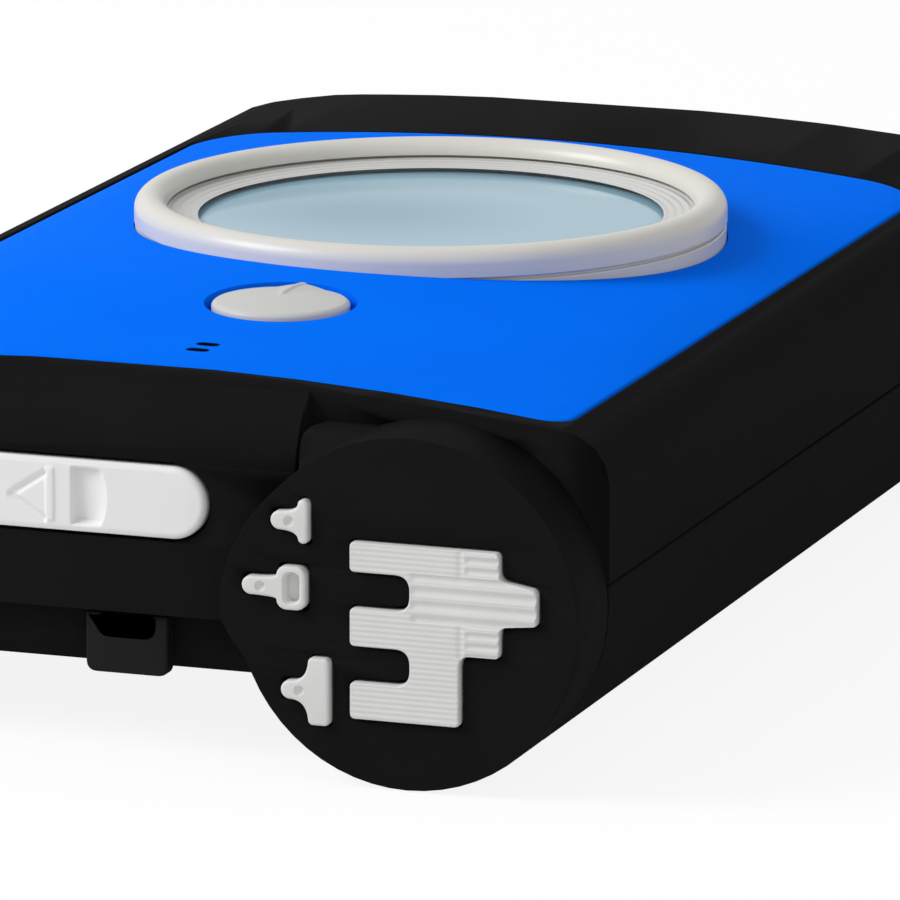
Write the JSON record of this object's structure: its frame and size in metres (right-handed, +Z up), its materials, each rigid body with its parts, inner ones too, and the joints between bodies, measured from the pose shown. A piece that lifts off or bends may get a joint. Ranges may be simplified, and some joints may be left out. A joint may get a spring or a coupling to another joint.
{
  "type": "avalanche rescue beacon",
  "caption": "Flat crowned handset with a round ringed display, a pointer knob, a thumb slide, and a capped battery tube along its right side.",
  "frame": {"origin": "middle of the footprint, at the height of the lowest point of the battery tube", "axes": "+Z up through the display, +X towards the battery tube's side, +Y towards the rear end, away from the battery cap"},
  "size_m": [0.075, 0.1276, 0.0333],
  "materials": {
    "black_plastic": "fine matte moulded",
    "eyelet_plastic": "moulded, slightly worn",
    "blue_plate": "satin",
    "white_plastic": "satin moulded",
    "pale_plastic": "smooth moulded",
    "window_tint": "polished, tinted",
    "screen_glass": "polished",
    "lamp_red": "clear lens",
    "circuit_green": "solder mask",
    "header_plastic": "moulded",
    "chip_black": "moulded",
    "speaker_metal": "satin",
    "ferrite": "sintered ferrite",
    "copper_winding": "enamelled copper wire",
    "holder_plastic": "moulded",
    "cell_jacket": "printed jacket, left bare",
    "contact_metal": "nickel plated",
    "pale_rubber": "soft satin",
    "black_rubber": "matte",
    "grey_rubber": "matte",
    "screw_steel": "zinc plated",
    "shaft_steel": "bright",
    "carriage_plastic": "moulded",
    "switch_case": "moulded",
    "rotary_case": "moulded"
  },
  "bodies": {
    "housing": {"upper_shell": "black_plastic", "lower_shell": "black_plastic", "housing_gasket": "grey_rubber", "face_plate": "blue_plate", "display_bezel": "pale_plastic", "display_reflector": "pale_plastic", "display_window": "window_tint", "display_screen": "screen_glass", "display_board": "circuit_green", "board_header": "header_plastic", "main_board": "circuit_green", "processor_chip": "chip_black", "radio_chip": "chip_black", "power_chip": "chip_black", "loudspeaker": "speaker_metal", "antenna_long_rod": "ferrite", "antenna_long_winding": "copper_winding", "antenna_cross_rod": "ferrite", "antenna_cross_winding": "copper_winding", "antenna_upright_rod": "ferrite", "antenna_upright_winding": "copper_winding", "battery_holder": "holder_plastic", "battery_cell": "cell_jacket", "plus_contact": "contact_metal", "knob_seal": "black_rubber", "rotary_switch": "rotary_case", "slide_switch": "switch_case", "lanyard_eyelet": "eyelet_plastic", "display_lamp_1": "lamp_red", "display_lamp_2": "lamp_red", "display_lamp_3": "lamp_red", "display_lamp_4": "lamp_red", "display_lamp_5": "lamp_red", "display_lamp_6": "lamp_red", "housing_screw_1": "screw_steel", "housing_screw_2": "screw_steel", "housing_screw_3": "screw_steel", "housing_screw_4": "screw_steel"},
    "knob": {"mode_knob": "white_plastic", "knob_shaft": "shaft_steel"},
    "slide": {"slide_plate": "white_plastic", "slide_carriage": "carriage_plastic"},
    "cap": {"battery_cap": "black_plastic", "cap_grip": "pale_rubber", "cap_mark_top": "pale_rubber", "cap_mark_middle": "pale_rubber", "cap_mark_bottom": "pale_rubber", "cap_seal": "black_rubber", "minus_contact": "contact_metal", "battery_spring": "contact_metal"}
  },
  "joints": [
    {"name": "knob_turn", "type": "hinge", "parent": "housing", "child": "knob", "pos_m": [0.0015, -0.0317, 0.031], "axis": [0, 0, 1], "range_deg": [-60, 60]},
    {"name": "slide_move", "type": "slide", "parent": "housing", "child": "slide", "axis": [-1, 0, 0], "range_m": [0, 0.0065]},
    {"name": "cap_pull", "type": "slide", "parent": "housing", "child": "cap", "axis": [0, -1, 0], "range_m": [0, 0.008]}
  ]
}
